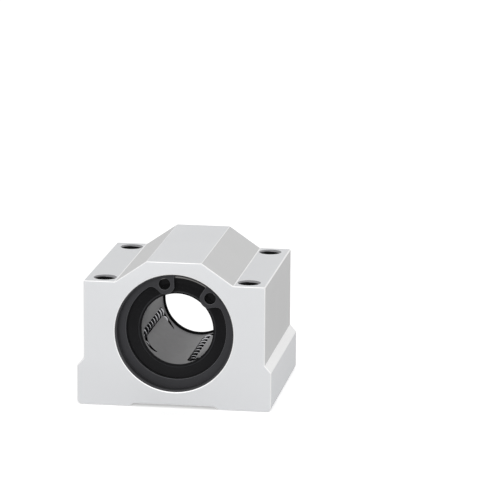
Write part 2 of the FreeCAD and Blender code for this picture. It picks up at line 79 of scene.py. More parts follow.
# corners of the extrusion's right half, from the relief under the base up to the crown:
# across, up, the corner's radius and the tone of the side that starts there, which is the
# aluminium's own on a land, painted shade on a flank and a painted highlight on a slope
BLOCK_CORNERS = (
    (0.0112, 0.0008, 0.0003, "flank"),
    (0.0124, 0.0000, 0.0002, "land"),
    (0.0270, 0.0000, 0.0012, "land"),
    (0.0270, 0.0110, 0.0003, "slope"),
    (0.0252, 0.0130, 0.0003, "flank"),
    (0.0252, 0.0350, 0.0003, "land"),
    (0.0163, 0.0350, 0.0010, "flank"),
    (0.0076, 0.0410, 0.0003, "land"),
)
# painted highlights on the whole outline: the corners whose rounding is painted paler as if it
# caught the light, and the half of each valley's rounding that lies on its shoulder's side
PAINTED_HIGHLIGHT_RIDGES = (3, 5, 7, 8, 10, 12)
PAINTED_HIGHLIGHT_VALLEYS = {6: range(CORNER_STEPS // 2), 9: range(CORNER_STEPS // 2, CORNER_STEPS)}
# along and radius of the bore's wall behind its front mouth, and the tone up to the next: a
# painted highlight on the mouth, painted shade on the wall
FRONT_BORE = (
    (0.0252, 0.01734, "edge"),
    (0.0249, 0.01650, "bored"),
    (0.02445, 0.01602, "bored"),
    (0.0223, 0.01602, "bored"),
    (0.0223, 0.01687, "bored"),
    (0.0210, 0.01687, "bored"),
    (0.0210, 0.01602, "bored"),
)
# the screw holes: drilled through the shoulders, then tapped and countersunk from the top
HOLE_SPACING = 0.040
HOLE_RADIUS = 0.0026
HOLE_TOP = 0.035
TAPPED_DEPTH = 0.012
THREAD_RADIUS = 0.003
THREAD_PITCH = 0.001
# the thread's flanks rise at this slope, from a flat crest
FLANK_SLOPE = 2.9
CREST_FLAT = 0.25
MOUTH_RADIUS = 0.0032
COUNTERSINK_START = 0.0344
# how far the shape that cuts a hole goes past the hole's ends
PAST_TOP = 0.0004
PAST_BASE = 0.001
THREAD_SEGMENTS = 48
STEPS_PER_TURN = 8


def wire(tree, *pairs):
    """Join sockets of a node tree, pair by pair."""
    for start, end in pairs:
        tree.links.new(start, end)


def new_group(name, kind, inputs, outputs):
    """A node group with named inputs and outputs, and its two end nodes."""
    tree = bpy.data.node_groups.new(name, kind)
    for socket_name, socket_kind, default in inputs:
        socket = tree.interface.new_socket(socket_name, in_out="INPUT", socket_type=socket_kind)
        if default is not None:
            socket.default_value = default
    for socket_name, socket_kind in outputs:
        tree.interface.new_socket(socket_name, in_out="OUTPUT", socket_type=socket_kind)
    return tree, tree.nodes.new("NodeGroupInput"), tree.nodes.new("NodeGroupOutput")


def make_grain_group():
    """Fine grain of a blasted, etched or moulded surface, and slow drifts of tone across it."""
    tree, start, end = new_group(
        "surface_grain",
        "ShaderNodeTree",
        (
            ("Grain size", "NodeSocketFloat", 0.0002),
            ("Drift size", "NodeSocketFloat", 0.012),
            ("Dark tone", "NodeSocketFloat", 0.96),
            ("Light tone", "NodeSocketFloat", 1.0),
        ),
        (("Height", "NodeSocketFloat"), ("Tone", "NodeSocketFloat")),
    )
    place = tree.nodes.new("ShaderNodeTexCoord")
    found = {}
    for size, detail in (("Grain size", 3.0), ("Drift size", 2.0)):
        per_metre = tree.nodes.new("ShaderNodeMath")
        per_metre.operation = "DIVIDE"
        per_metre.inputs[0].default_value = 1.0
        noise = tree.nodes.new("ShaderNodeTexNoise")
        noise.inputs["Detail"].default_value = detail
        wire(
            tree,
            (start.outputs[size], per_metre.inputs[1]),
            (per_metre.outputs[0], noise.inputs["Scale"]),
            (place.outputs["Object"], noise.inputs["Vector"]),
        )
        found[size] = noise.outputs["Fac"]
    tone = tree.nodes.new("ShaderNodeMapRange")
    tone.inputs["From Min"].default_value = 0.3
    tone.inputs["From Max"].default_value = 0.7
    wire(
        tree,
        (found["Drift size"], tone.inputs["Value"]),
        (start.outputs["Dark tone"], tone.inputs["To Min"]),
        (start.outputs["Light tone"], tone.inputs["To Max"]),
        (found["Grain size"], end.inputs["Height"]),
        (tone.outputs["Result"], end.inputs["Tone"]),
    )
    return tree


surface_grain = make_grain_group()


def make_finish(name, color, metallic, roughness, grain, depth, dark=0.94, drift=0.012,
                spread=0.1, specular=0.5):
    """A material: its colour with slow drifts of tone, and grain in its height and roughness."""
    material = bpy.data.materials.new(name)
    material.use_nodes = True
    tree = material.node_tree
    shader = tree.nodes["Principled BSDF"]
    shader.inputs["Metallic"].default_value = metallic
    shader.inputs["Specular IOR Level"].default_value = specular
    grained = tree.nodes.new("ShaderNodeGroup")
    grained.node_tree = surface_grain
    grained.inputs["Grain size"].default_value = grain
    grained.inputs["Drift size"].default_value = drift
    grained.inputs["Dark tone"].default_value = dark
    toned = tree.nodes.new("ShaderNodeMix")
    toned.data_type = "RGBA"
    toned.blend_type = "MULTIPLY"
    toned.inputs["Factor"].default_value = 1.0
    toned.inputs["A"].default_value = (*color, 1)
    rough = tree.nodes.new("ShaderNodeMapRange")
    rough.inputs["To Min"].default_value = max(roughness - spread / 2, 0.02)
    rough.inputs["To Max"].default_value = roughness + spread / 2
    bump = tree.nodes.new("ShaderNodeBump")
    bump.inputs["Strength"].default_value = 1.0
    bump.inputs["Distance"].default_value = depth
    wire(
        tree,
        (grained.outputs["Tone"], toned.inputs["B"]),
        (toned.outputs["Result"], shader.inputs["Base Color"]),
        (grained.outputs["Height"], rough.inputs["Value"]),
        (rough.outputs["Result"], shader.inputs["Roughness"]),
        (grained.outputs["Height"], bump.inputs["Height"]),
        (bump.outputs["Normal"], shader.inputs["Normal"]),
    )
    return material


BLOCK_FINISHES_AND_SHADES = {
    "land": make_finish("blasted_land", (0.70, 0.708, 0.722), 0.40, 0.5, 0.00022, 0.000006,
                        dark=0.97, drift=0.02),
    # painted shade: a darker copy of the land's aluminium on the walls, slants and relief steps
    "flank": make_finish("blasted_flank", (0.58, 0.58, 0.58), 0.40, 0.5, 0.00022, 0.000006,
                         dark=0.97, drift=0.02),
    # painted highlight: a paler copy of the aluminium on the narrow slope above each flange
    "slope": make_finish("bright_slope", (0.86, 0.86, 0.86), 0.45, 0.45, 0.00022, 0.000004,
                         dark=0.97, drift=0.02),
    # painted highlight: a paler copy of the aluminium on every broken edge and on the bore's
    # mouth
    "edge": make_finish("broken_edge", (0.90, 0.90, 0.90), 0.6, 0.4, 0.0003, 0.000002),
    # painted shade: the bore's wall behind its mouth, a nearly black copy of the aluminium
    "bored": make_finish("bored_wall", (0.060, 0.060, 0.064), 0.5, 0.5, 0.0003, 0.000003,
                         specular=0.2),
}
finish_and_shade_names = list(BLOCK_FINISHES_AND_SHADES)
# painted shade in the screw holes: the countersinks a darker copy of the aluminium, the tapped
# bores nearly black
countersunk = make_finish("countersunk_wall", (0.27, 0.27, 0.28), 0.5, 0.45, 0.0003, 0.000003)
tapped_wall = make_finish("tapped_wall", (0.006, 0.006, 0.006), 0.0, 0.6, 0.0003, 0.000003,
                          specular=0.05)


def rounded_outline(corners, inset, steps):
    """Points round a polygon with rounded corners, all moved inwards by one distance."""
    sides = []
    for i, (x, z, _) in enumerate(corners):
        end = corners[(i + 1) % len(corners)]
        along = Vector((end[0] - x, end[1] - z)).normalized()
        sides.append((Vector((x, z)) + inset * Vector((-along.y, along.x)), along))
    points = []
    for i, (_, _, radius) in enumerate(corners):
        (start_a, along_a), (start_b, along_b) = sides[i - 1], sides[i]
        turn = along_a.x * along_b.y - along_a.y * along_b.x
        apart = start_b - start_a
        corner = start_a + (apart.x * along_b.y - apart.y * along_b.x) / turn * along_a
        bend = math.atan2(turn, along_a.dot(along_b))
        radius = max(radius - math.copysign(inset, bend), 0.00001)
        back_off = radius * math.tan(abs(bend) / 2)
        to_centre = math.copysign(radius, bend) * Vector((-along_a.y, along_a.x))
        centre = corner - back_off * along_a + to_centre
        for step in range(steps + 1):
            points.append(centre - Matrix.Rotation(bend * step / steps, 2) @ to_centre)
    return points


def new_piece(name, mesh, *materials):
    """An object for a finished mesh, at the origin, with its materials in slot order."""
    piece = bpy.data.objects.new(name, mesh)
    for material in materials:
        mesh.materials.append(material)
    scene.collection.objects.link(piece)
    return piece


def join_rings(name, rings, slot_of=None, closed=False):
    """A solid from matched rings of points: capped at both ends, or closed into a ring itself.

    slot_of gives the material slot of the face between a ring and the next, at a point.
    """
    count = len(rings[0])
    faces, slots = [], []
    for level in range(len(rings) if closed else len(rings) - 1):
        low, high = level * count, (level + 1) % len(rings) * count
        for i in range(count):
            j = (i + 1) % count
            faces.append((low + i, low + j, high + j, high + i))
            slots.append(slot_of(level, i) if slot_of else 0)
    if not closed:
        faces += [tuple(range(count)), tuple(range((len(rings) - 1) * count, len(rings) * count))]
        slots += [0, 0]
    mesh = bpy.data.meshes.new(name)
    mesh.from_pydata([tuple(point) for ring in rings for point in ring], [], faces)
    mesh.polygons.foreach_set("material_index", slots)
    work = bmesh.new()
    work.from_mesh(mesh)
    bmesh.ops.remove_doubles(work, verts=work.verts, dist=1e-7)
    bmesh.ops.recalc_face_normals(work, faces=work.faces)
    work.to_mesh(mesh)
    work.free()
    return mesh


def about_bore(radius, angle, along):
    """A point at a radius and angle about the bore's axis."""
    return Vector((
        radius * math.cos(angle), along, BORE_HEIGHT + radius * math.sin(angle)
    ))


def turned(name, profile, slots=None, closed=True):
    """A solid turned about the bore's axis from a profile of (along, radius) points."""
    angles = [2 * math.pi * i / RING_SEGMENTS for i in range(RING_SEGMENTS)]
    rings = [[about_bore(radius, angle, along) for angle in angles] for along, radius in profile]
    return join_rings(name, rings, (lambda level, i: slots[level]) if slots else None, closed)


def settle(piece):
    """Turn the piece's modifiers into a plain mesh."""
    graph = bpy.context.evaluated_depsgraph_get()
    mesh = bpy.data.meshes.new_from_object(
        piece.evaluated_get(graph), preserve_all_data_layers=True, depsgraph=graph
    )
    piece.modifiers.clear()
    piece.data = mesh
    mesh.name = piece.name
    mesh.shade_smooth()


def even_normals(piece, crease=30):
    """Smooth shading that keeps flat faces flat.

    Each corner takes the mean, by area, of those faces round its vertex that lie within
    the crease angle of its own face.
    """
    mesh = piece.data
    limit = math.cos(math.radians(crease))
    faces = [(face.normal.copy(), face.area) for face in mesh.polygons]
    around = [[] for _ in mesh.vertices]
    for face in mesh.polygons:
        for vertex in face.vertices:
            around[vertex].append(faces[face.index])
    corners = []
    for face in mesh.polygons:
        own = faces[face.index][0]
        for vertex in face.vertices:
            total = Vector()
            for normal, area in around[vertex]:
                if normal.dot(own) > limit:
                    total += area * normal
            corners.append(total.normalized())
    mesh.shade_smooth()
    mesh.normals_split_custom_set(corners)


def cut(piece, tool):
    """Take the tool's shape out of the piece."""
    step = piece.modifiers.new(tool.name, "BOOLEAN")
    step.operation = "DIFFERENCE"
    step.solver = "EXACT"
    step.material_mode = "TRANSFER"
    step.object = tool


def apply_group(piece, tree, **values):
    """Run a Geometry Nodes group on the piece; each value is for an input of that name."""
    step = piece.modifiers.new(tree.name, "NODES")
    step.node_group = tree
    for item in tree.interface.items_tree:
        if item.item_type == "SOCKET" and item.in_out == "INPUT":
            key = item.name.replace(" ", "_").lower()
            if key in values:
                step[item.identifier] = values[key]
    settle(piece)


def make_pattern_group():
    """Copies of a drilled hole's shape, one at each corner of a rectangle."""
    tree, start, end = new_group(
        "hole_pattern",
        "GeometryNodeTree",
        (
            ("Tool", "NodeSocketGeometry", None),
            ("Spacing across", "NodeSocketFloat", HOLE_SPACING),
            ("Spacing along", "NodeSocketFloat", HOLE_SPACING),
            ("Countersink start", "NodeSocketFloat", COUNTERSINK_START),
            ("Hole material", "NodeSocketMaterial", None),
            ("Countersink material", "NodeSocketMaterial", None),
        ),
        (("Geometry", "NodeSocketGeometry"),),
    )
    nodes = tree.nodes
    grid = nodes.new("GeometryNodeMeshGrid")
    grid.inputs["Vertices X"].default_value = 2
    grid.inputs["Vertices Y"].default_value = 2
    copies = nodes.new("GeometryNodeInstanceOnPoints")
    real = nodes.new("GeometryNodeRealizeInstances")
    place = nodes.new("GeometryNodeInputPosition")
    parts = nodes.new("ShaderNodeSeparateXYZ")
    above = nodes.new("ShaderNodeMath")
    above.operation = "GREATER_THAN"
    drilled = nodes.new("GeometryNodeSetMaterial")
    sunk = nodes.new("GeometryNodeSetMaterial")
    wire(
        tree,
        (start.outputs["Spacing across"], grid.inputs["Size X"]),
        (start.outputs["Spacing along"], grid.inputs["Size Y"]),
        (grid.outputs["Mesh"], copies.inputs["Points"]),
        (start.outputs["Tool"], copies.inputs["Instance"]),
        (copies.outputs["Instances"], real.inputs["Geometry"]),
        (real.outputs["Geometry"], drilled.inputs["Geometry"]),
        (start.outputs["Hole material"], drilled.inputs["Material"]),
        (place.outputs["Position"], parts.inputs["Vector"]),
        (parts.outputs["Z"], above.inputs[0]),
        (start.outputs["Countersink start"], above.inputs[1]),
        (above.outputs[0], sunk.inputs["Selection"]),
        (drilled.outputs["Geometry"], sunk.inputs["Geometry"]),
        (start.outputs["Countersink material"], sunk.inputs["Material"]),
        (sunk.outputs["Geometry"], end.inputs["Geometry"]),
    )
    return tree


def thread_tool():
    """The shape a drill, a tap and a countersink leave in a shoulder, down from its top."""
    start = HOLE_TOP - TAPPED_DEPTH
    steps = round(TAPPED_DEPTH / THREAD_PITCH) * STEPS_PER_TURN
    heights = [-PAST_BASE, start - THREAD_PITCH]
    heights += [start + THREAD_PITCH * i / STEPS_PER_TURN for i in range(steps + 1)]
    heights.append(HOLE_TOP + PAST_TOP)
    rings = []
    for height in heights:
        run_in = min(max((height - start) / THREAD_PITCH, 0), 1)
        sunk = MOUTH_RADIUS + height - HOLE_TOP
        ring = []
        for i in range(THREAD_SEGMENTS):
            phase = (height / THREAD_PITCH - i / THREAD_SEGMENTS) % 1
            tooth = min(max(abs(phase - 0.5) * FLANK_SLOPE - CREST_FLAT, 0), 1)
            tapped = HOLE_RADIUS + (THREAD_RADIUS - HOLE_RADIUS) * tooth * run_in
            radius = sunk if height > HOLE_TOP else max(tapped, sunk)
            angle = 2 * math.pi * i / THREAD_SEGMENTS
            ring.append((radius * math.cos(angle), radius * math.sin(angle), height))
        rings.append(ring)
    return join_rings("tapped_holes", rings)


right_half = [corner[:3] for corner in BLOCK_CORNERS]
outline = right_half + [(-x, z, radius) for x, z, radius in reversed(right_half)]
side_finishes_and_shades = [corner[3] for corner in BLOCK_CORNERS]
side_finishes_and_shades += side_finishes_and_shades[-2::-1] + ["flank"]
half_block = []
for step in range(EDGE_STEPS + 1):
    swing = math.pi / 2 * step / EDGE_STEPS
    along = -BLOCK_END + END_EDGE * (1 - math.cos(swing))
    inset = END_EDGE * (1 - math.sin(swing))
    half_block.append((along, rounded_outline(outline, inset, CORNER_STEPS)))
block_rings = [[(p.x, along, p.y) for p in points] for along, points in half_block]
block_rings += [[(p.x, -along, p.y) for p in points] for along, points in reversed(half_block)]


def block_slot(level, i):
    """The tone at a place on the extrusion: its broken edges are brighter than its sides, a
    painted highlight.
    """
    corner, step = divmod(i, CORNER_STEPS + 1)
    if level != EDGE_STEPS:
        return finish_and_shade_names.index("edge")
    if step == CORNER_STEPS:
        return finish_and_shade_names.index(side_finishes_and_shades[corner])
    if corner in PAINTED_HIGHLIGHT_RIDGES or step in PAINTED_HIGHLIGHT_VALLEYS.get(corner, ()):
        return finish_and_shade_names.index("edge")
    side = corner if step >= CORNER_STEPS // 2 else corner - 1
    return finish_and_shade_names.index(side_finishes_and_shades[side])


block = new_piece(
    "block", join_rings("block", block_rings, block_slot), *BLOCK_FINISHES_AND_SHADES.values()
)
bore_profile = [(-y, r) for y, r, _ in FRONT_BORE] + [(y, r) for y, r, _ in reversed(FRONT_BORE)]
bore_slots = [finish_and_shade_names.index(finish) for _, _, finish in FRONT_BORE]
bore_slots += bore_slots[-2::-1]
bore_tool = new_piece(
    "bore_tool",
    turned("bore_tool", bore_profile, bore_slots, closed=False),
    *BLOCK_FINISHES_AND_SHADES.values(),
)
tapped_holes = new_piece("tapped_holes", thread_tool())
apply_group(
    tapped_holes,
    make_pattern_group(),
    spacing_across=HOLE_SPACING,
    spacing_along=HOLE_SPACING,
    countersink_start=COUNTERSINK_START,
    hole_material=tapped_wall,
    countersink_material=countersunk,
)
for tool in (bore_tool, tapped_holes):
    cut(block, tool)
settle(block)
even_normals(block)
for tool in (bore_tool, tapped_holes):
    bpy.data.objects.remove(tool)
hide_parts("housing")
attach(block, "block")


# Sleeve: a hardened and ground steel tube, a close fit in the block between the circlips.
# Outside it has two snap grooves; inside, four narrow raceway lands carry the loaded balls,
# with wide pockets for the returning ones.
CIRCUITS = 4
CIRCUIT_STEP = 2 * math.pi / CIRCUITS
LOADED_ANGLE = math.radians(196)
RETURN_SPREAD = math.radians(29.730404)
RACE_RADIUS = 0.013255
POCKET_RADIUS = 0.0147675
POCKET_HALF_LENGTH = 0.0179
# a pocket runs from beside its loaded row to past its return row, and the shape that cuts
# it starts inside the sleeve's bore
LAND_HALF_ANGLE = math.radians(5.5)
POCKET_PAST_RETURN = math.radians(8)
CUTTER_INNER_RADIUS = 0.0125
CUTTER_STEPS = 24
# along and radius, from the outer snap groove round the sleeve's end to the raceway
SLEEVE_HALF = (
    (0.01365, 0.016),
    (0.01365, 0.01525),
    (0.01525, 0.01525),
    (0.01525, 0.016),
    (0.0206, 0.016),
    (0.0210, 0.0156),
    (0.0210, POCKET_RADIUS),
    (0.018833, POCKET_RADIUS),
    (0.018833, 0.0152675),
    (0.017867, 0.0152675),
    (0.017867, POCKET_RADIUS),
    (0.01785, POCKET_RADIUS),
    (0.01785, RACE_RADIUS),
)
ground_steel = make_finish("ground_steel", (0.19, 0.185, 0.18), 0.9, 0.40, 0.0003, 0.000001)
sleeve_profile = list(SLEEVE_HALF) + [(-y, r) for y, r in reversed(SLEEVE_HALF)]
sleeve = new_piece("sleeve", turned("sleeve", sleeve_profile), ground_steel)


def make_around_group():
    """Copies of a shape, evenly spaced about the bore's axis."""
    tree, start, end = new_group(
        "around_shaft",
        "GeometryNodeTree",
        (
            ("Shape", "NodeSocketGeometry", None),
            ("Copies", "NodeSocketInt", CIRCUITS),
            ("Axis height", "NodeSocketFloat", BORE_HEIGHT),
            ("Material", "NodeSocketMaterial", None),
        ),
        (("Geometry", "NodeSocketGeometry"),),
    )
    nodes = tree.nodes
    spots = nodes.new("GeometryNodePoints")
    place = nodes.new("ShaderNodeCombineXYZ")
    number = nodes.new("GeometryNodeInputIndex")
    share = nodes.new("ShaderNodeMath")
    share.operation = "DIVIDE"
    # angles about the bore run from +X up to +Z, which is backwards about +Y
    turn = nodes.new("ShaderNodeMath")
    turn.operation = "MULTIPLY"
    turn.inputs[1].default_value = -2 * math.pi
    spin = nodes.new("ShaderNodeCombineXYZ")
    lower = nodes.new("ShaderNodeVectorMath")
    lower.operation = "SCALE"
    lower.inputs["Scale"].default_value = -1
    centred = nodes.new("GeometryNodeTransform")
    copies = nodes.new("GeometryNodeInstanceOnPoints")
    real = nodes.new("GeometryNodeRealizeInstances")
    painted = nodes.new("GeometryNodeSetMaterial")
    wire(
        tree,
        (start.outputs["Copies"], spots.inputs["Count"]),
        (start.outputs["Axis height"], place.inputs["Z"]),
        (place.outputs["Vector"], spots.inputs["Position"]),
        (place.outputs["Vector"], lower.inputs[0]),
        (lower.outputs["Vector"], centred.inputs["Translation"]),
        (start.outputs["Shape"], centred.inputs["Geometry"]),
        (number.outputs["Index"], share.inputs[0]),
        (start.outputs["Copies"], share.inputs[1]),
        (share.outputs[0], turn.inputs[0]),
        (turn.outputs[0], spin.inputs["Y"]),
        (spots.outputs["Points"], copies.inputs["Points"]),
        (centred.outputs["Geometry"], copies.inputs["Instance"]),
        (spin.outputs["Vector"], copies.inputs["Rotation"]),
        (copies.outputs["Instances"], real.inputs["Geometry"]),
        (real.outputs["Geometry"], painted.inputs["Geometry"]),
        (start.outputs["Material"], painted.inputs["Material"]),
        (painted.outputs["Geometry"], end.inputs["Geometry"]),
    )
    return tree


around_shaft = make_around_group()


def pocket_shape():
    """A thick ring segment about the bore, to cut one pocket."""
    start = LOADED_ANGLE + LAND_HALF_ANGLE
    end = LOADED_ANGLE + RETURN_SPREAD + POCKET_PAST_RETURN
    angles = [start + (end - start) * i / CUTTER_STEPS for i in range(CUTTER_STEPS + 1)]
    flat = [(POCKET_RADIUS, angle) for angle in angles]
    flat += [(CUTTER_INNER_RADIUS, angle) for angle in reversed(angles)]
    return join_rings("pocket_tool", [
        [about_bore(radius, angle, along) for radius, angle in flat]
        for along in (-POCKET_HALF_LENGTH, POCKET_HALF_LENGTH)
    ])


pocket_tool = new_piece("pocket_tool", pocket_shape())
apply_group(
    pocket_tool,
    around_shaft,
    copies=CIRCUITS,
    axis_height=BORE_HEIGHT,
    material=ground_steel,
)
cut(sleeve, pocket_tool)
settle(sleeve)
even_normals(sleeve)
bpy.data.objects.remove(pocket_tool)
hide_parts("bearing_sleeve")
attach(sleeve, "block")


# Cage: a smooth steel tube, satin grey, with a rib over each return row, held in the sleeve
# by the side rings. Every ball circuit is a closed track inside its wall, which breaks
# through to the shaft along the loaded side.
CAGE_END = 0.0178
CAGE_BORE_RADIUS = 0.01045
WALL_RADIUS = 0.013155
WALL_STEPS = 36
RIB_RADIUS = 0.0146675
RIB_STEPS = 24
RIB_START = math.radians(6.3)
RIB_PAST_RETURN = math.radians(7.2)
BALLS_IN_ROW = 7
BALL_PITCH = 0.003403392041
HALF_RUN = BALL_PITCH * BALLS_IN_ROW / 2
TURN_RADIUS = 0.00325
LOADED_RADIUS = 0.0115875
RETURN_RADIUS = 0.0131
TRACK_RADIUS = 0.0016875
TRACK_SEGMENTS = 40
TRACK_TURN_STEPS = 24
# each slit leaves its loaded row this wide, and tapers to its end round most of the turn
SLIT_START = 0.0025
SLIT_END = 0.0001
SLIT_TAPER = 3.6
SLIT_DEPTH = 0.0038
SLIT_SWING = math.radians(150)
SLIT_STEPS = 30
satin_grey = make_finish("satin_grey", (0.117, 0.113, 0.121), 0.2, 0.32, 0.0008, 0.000001,
                         dark=0.85, drift=0.006, specular=0.22)
# painted shade: the walls of the ball tracks and slits, cut into the satin grey, are nearly black
track_grey = make_finish("track_grey", (0.004, 0.004, 0.004), 0.0, 0.8, 0.0003, 0.000002,
                         specular=0.02)


def cage_ring(along, inside):
    """A ring of the cage's section: its plain bore, or its wall that steps out to each rib."""
    rib_end = RETURN_SPREAD + RIB_PAST_RETURN
    ring = []
    for circuit in range(CIRCUITS):
        base = LOADED_ANGLE + circuit * CIRCUIT_STEP
        for start, end, radius, steps in (
            (RIB_START, rib_end, RIB_RADIUS, RIB_STEPS),
            (rib_end, CIRCUIT_STEP + RIB_START, WALL_RADIUS, WALL_STEPS),
        ):
            for i in range(steps + 1):
                angle = base + start + (end - start) * i / steps
                ring.append(about_bore(CAGE_BORE_RADIUS if inside else radius, angle, along))
    return ring


cage = new_piece(
    "cage",
    join_rings(
        "cage",
        [
            cage_ring(-CAGE_END, True),
            cage_ring(-CAGE_END, False),
            cage_ring(CAGE_END, False),
            cage_ring(CAGE_END, True),
        ],
        closed=True,
    ),
    satin_grey,
    track_grey,
)


def circuit_frame(angle):
    """Middle of a circuit's two rows, and the step from there out to its loaded row."""
    loaded = about_bore(LOADED_RADIUS, angle, 0)
    unloaded = about_bore(RETURN_RADIUS, angle + RETURN_SPREAD, 0)
    return (loaded + unloaded) / 2, (loaded - unloaded) / 2


def circuit_path(angle, turn_steps):
    """Points round a circuit's centreline, from the loaded row's rear end through both turns."""
    middle, to_loaded = circuit_frame(angle)
    points = []
    for side in (1, -1):
        for i in range(turn_steps + 1):
            swing = math.pi * i / turn_steps
            along = side * (HALF_RUN + TURN_RADIUS * math.sin(swing))
            points.append(middle + side * math.cos(swing) * to_loaded + Vector((0, along, 0)))
    return points


def track_tool():
    """A round bar bent into one circuit, to cut its track."""
    points = circuit_path(LOADED_ANGLE, TRACK_TURN_STEPS)
    square = circuit_frame(LOADED_ANGLE)[1].cross(Vector((0, 1, 0))).normalized()
    angles = [2 * math.pi * k / TRACK_SEGMENTS for k in range(TRACK_SEGMENTS)]
    rings = []
    for i, point in enumerate(points):
        ahead = (points[(i + 1) % len(points)] - points[i - 1]).normalized()
        sideways = ahead.cross(square).normalized()
        rings.append([
            point + TRACK_RADIUS * (math.cos(angle) * sideways + math.sin(angle) * square)
            for angle in angles
        ])
    return join_rings("track_tool", rings, closed=True)


def slit_tool():
    """Two thin curved blades, one at each turn, that open the track to the shaft."""
    middle, to_loaded = circuit_frame(LOADED_ANGLE)
    outwards = to_loaded.normalized()
    square = outwards.cross(Vector((0, 1, 0))).normalized()
    inwards = square if square.dot(Vector((0, 0, BORE_HEIGHT)) - middle) > 0 else -square
    work = bmesh.new()
    for side in (-1, 1):
        rings = []
        for i in range(SLIT_STEPS + 1):
            swing = SLIT_SWING * i / SLIT_STEPS
            radial = math.cos(swing) * outwards + Vector((0, side * math.sin(swing), 0))
            centre = middle + Vector((0, side * HALF_RUN, 0)) + TURN_RADIUS * radial
            width = SLIT_START + (SLIT_END - SLIT_START) * (i / SLIT_STEPS) ** SLIT_TAPER
            rings.append([
                centre + across * width * radial + deep * SLIT_DEPTH * inwards
                for across, deep in ((0.5, 0), (-0.5, 0), (-0.5, 1), (0.5, 1))
            ])
        work.from_mesh(join_rings("blade", rings))
    mesh = bpy.data.meshes.new("slit_tool")
    work.to_mesh(mesh)
    work.free()
    return mesh


cage_tools = [new_piece("track_tool", track_tool()), new_piece("slit_tool", slit_tool())]
for tool in cage_tools:
    apply_group(
        tool,
        around_shaft,
        copies=CIRCUITS,
        axis_height=BORE_HEIGHT,
        material=track_grey,
    )
    cut(cage, tool)
settle(cage)
even_normals(cage)
for tool in cage_tools:
    bpy.data.objects.remove(tool)
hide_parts("ball_cage")
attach(cage, "block")


# Balls: polished bearing steel, 1/8 inch. Twenty fill each circuit and roll round it one
# behind another: seven under load, seven on their way back and three in each turn.
BALL_RADIUS = 0.0015875
BALL_SEGMENTS = 40
BALL_RINGS = 20
BALLS_IN_TURN = 3
BALLS_IN_CIRCUIT = 2 * (BALLS_IN_ROW + BALLS_IN_TURN)
LINE_TURN_STEPS = 96
polished_steel = make_finish("polished_steel", (0.40, 0.40, 0.42), 1.0, 0.12, 0.0006,
                             0.0000002, dark=0.97, spread=0.04)


def make_ball_group():
    """Balls on some of the evenly spaced points of a closed track."""
    tree, start, end = new_group(
        "balls_on_track",
        "GeometryNodeTree",
        (
            ("Track", "NodeSocketGeometry", None),
            ("Balls in circuit", "NodeSocketInt", BALLS_IN_CIRCUIT),
            ("First ball", "NodeSocketInt", 0),
            ("Ball count", "NodeSocketInt", BALLS_IN_ROW),
            ("Ball radius", "NodeSocketFloat", BALL_RADIUS),
            ("Material", "NodeSocketMaterial", None),
        ),
        (("Geometry", "NodeSocketGeometry"),),
    )
    nodes = tree.nodes
    curve = nodes.new("GeometryNodeMeshToCurve")
    spaced = nodes.new("GeometryNodeResampleCurve")
    number = nodes.new("GeometryNodeInputIndex")
    past_first = nodes.new("ShaderNodeMath")
    past_first.operation = "SUBTRACT"
    started = nodes.new("ShaderNodeMath")
    started.operation = "GREATER_THAN"
    started.inputs[1].default_value = -0.5
    not_over = nodes.new("ShaderNodeMath")
    not_over.operation = "LESS_THAN"
    in_group = nodes.new("ShaderNodeMath")
    in_group.operation = "MULTIPLY"
    ball = nodes.new("GeometryNodeMeshUVSphere")
    ball.inputs["Segments"].default_value = BALL_SEGMENTS
    ball.inputs["Rings"].default_value = BALL_RINGS
    copies = nodes.new("GeometryNodeInstanceOnPoints")
    real = nodes.new("GeometryNodeRealizeInstances")
    painted = nodes.new("GeometryNodeSetMaterial")
    wire(
        tree,
        (start.outputs["Track"], curve.inputs["Mesh"]),
        (curve.outputs["Curve"], spaced.inputs["Curve"]),
        (start.outputs["Balls in circuit"], spaced.inputs["Count"]),
        (spaced.outputs["Curve"], copies.inputs["Points"]),
        (number.outputs["Index"], past_first.inputs[0]),
        (start.outputs["First ball"], past_first.inputs[1]),
        (past_first.outputs[0], started.inputs[0]),
        (past_first.outputs[0], not_over.inputs[0]),
        (start.outputs["Ball count"], not_over.inputs[1]),
        (started.outputs[0], in_group.inputs[0]),
        (not_over.outputs[0], in_group.inputs[1]),
        (in_group.outputs[0], copies.inputs["Selection"]),
        (start.outputs["Ball radius"], ball.inputs["Radius"]),
        (ball.outputs["Mesh"], copies.inputs["Instance"]),
        (copies.outputs["Instances"], real.inputs["Geometry"]),
        (real.outputs["Geometry"], painted.inputs["Geometry"]),
        (start.outputs["Material"], painted.inputs["Material"]),
        (painted.outputs["Geometry"], end.inputs["Geometry"]),
    )
    return tree


balls_on_track = make_ball_group()


def track_line(name, angle):
    """One circuit's centreline as a closed chain of edges, from its first loaded ball."""
    first = about_bore(LOADED_RADIUS, angle, BALL_PITCH / 2 - HALF_RUN)
    chain = [first] + circuit_path(angle, LINE_TURN_STEPS)
    edges = [(i, (i + 1) % len(chain)) for i in range(len(chain))]
    mesh = bpy.data.meshes.new(name)
    mesh.from_pydata([tuple(point) for point in chain], edges, [])
    return mesh


for circuit in range(CIRCUITS):
    angle = LOADED_ANGLE + circuit * CIRCUIT_STEP
    first = 0
    for kind, count in (
        ("loaded_row", BALLS_IN_ROW),
        ("rear_turn", BALLS_IN_TURN),
        ("return_row", BALLS_IN_ROW),
        ("front_turn", BALLS_IN_TURN),
    ):
        node = f"{kind}_{circuit + 1}"
        balls = new_piece(f"balls_{node}", track_line(f"balls_{node}", angle))
        apply_group(
            balls,
            balls_on_track,
            balls_in_circuit=BALLS_IN_CIRCUIT,
            first_ball=first,
            ball_count=count,
            ball_radius=BALL_RADIUS,
            material=polished_steel,
        )
        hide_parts(node)
        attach(balls, node)
        first += count


